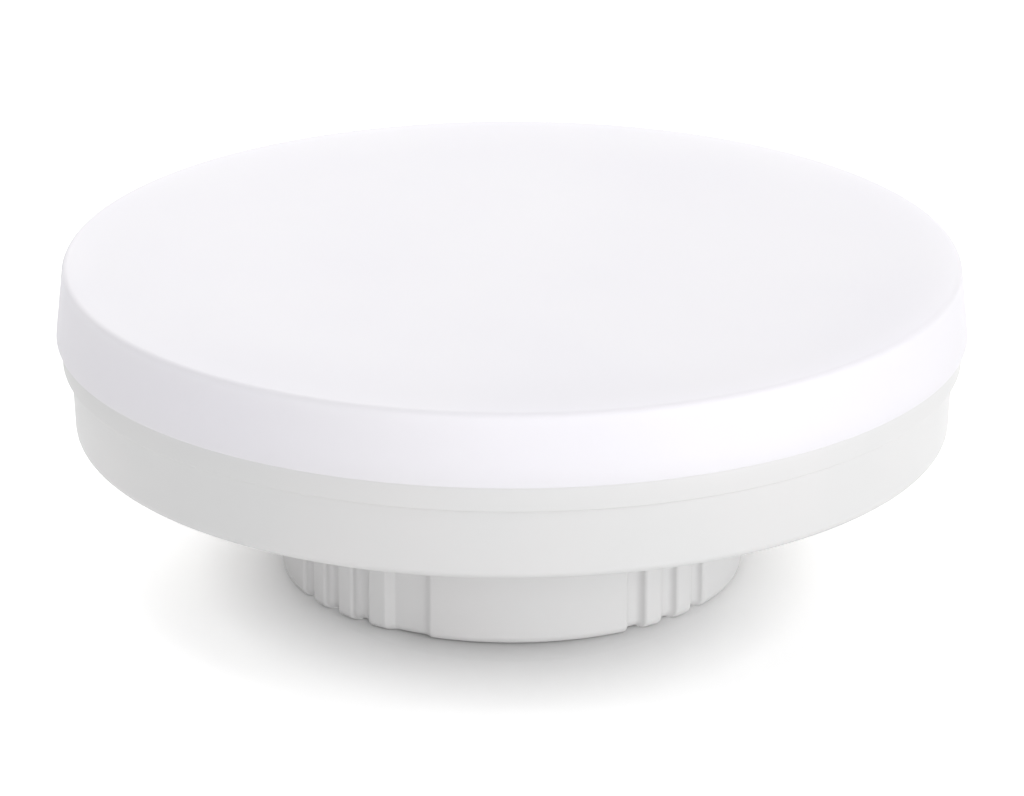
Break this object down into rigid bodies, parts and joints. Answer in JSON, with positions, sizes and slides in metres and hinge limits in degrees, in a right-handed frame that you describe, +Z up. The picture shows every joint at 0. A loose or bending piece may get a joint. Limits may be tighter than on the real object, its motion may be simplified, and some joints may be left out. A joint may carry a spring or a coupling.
{
  "type": "led disc lamp",
  "caption": "Flat round lamp with an opal cover, a fluted boss below and two contact pins that twist into a ceiling holder.",
  "frame": {"origin": "centre of the boss's foot, the face that the lamp stands on", "axes": "+Z up through the opal cover, +X through the two contact pins, -Y to the front of the picture"},
  "size_m": [0.075, 0.075, 0.0272],
  "materials": {
    "opal_cover": "opal, fine satin",
    "white_housing": "moulded, fine satin",
    "contact_metal": "nickel-plated, turned",
    "tag_metal": "tinned sheet",
    "spreader_metal": "pressed sheet",
    "pad_rubber": "soft, matt",
    "lamp_board_white": "white solder mask",
    "chip_yellow": "silicone over a white frame",
    "screw_steel": "zinc-plated",
    "driver_board_green": "solder mask",
    "can_sleeve": "shrunk sleeve",
    "film_yellow": "potted box",
    "ferrite": "sintered, dull",
    "bobbin_plastic": "moulded",
    "copper_wire": "enamelled copper",
    "varistor_blue": "dipped lacquer",
    "resistor_blue": "lacquer",
    "chip_black": "moulded resin",
    "ceramic_tan": "fired ceramic",
    "wire_black": "insulated wire",
    "wire_red": "insulated wire"
  },
  "bodies": {
    "root": {"diffuser": "opal_cover", "housing": "white_housing", "contact_pin_right": "contact_metal", "contact_pin_left": "contact_metal", "pin_tag_right": "tag_metal", "pin_tag_left": "tag_metal", "heat_plate": "spreader_metal", "thermal_pad": "pad_rubber", "lamp_board": "lamp_board_white", "light_chips": "chip_yellow", "plate_screws": "screw_steel", "driver_board": "driver_board_green", "mains_wire_right": "wire_black", "mains_wire_left": "wire_black", "lamp_wire_positive": "wire_red", "lamp_wire_negative": "wire_black", "input_capacitor": "can_sleeve", "output_capacitor": "can_sleeve", "film_capacitor": "film_yellow", "inductor_core": "ferrite", "inductor_bobbin": "bobbin_plastic", "inductor_winding": "copper_wire", "choke_core": "ferrite", "choke_winding": "copper_wire", "varistor": "varistor_blue", "fuse_resistor": "resistor_blue", "bridge_rectifier": "chip_black", "driver_chip": "chip_black", "flyback_diode": "chip_black", "chip_resistors": "chip_black", "chip_capacitors": "ceramic_tan"}
  },
  "joints": []
}
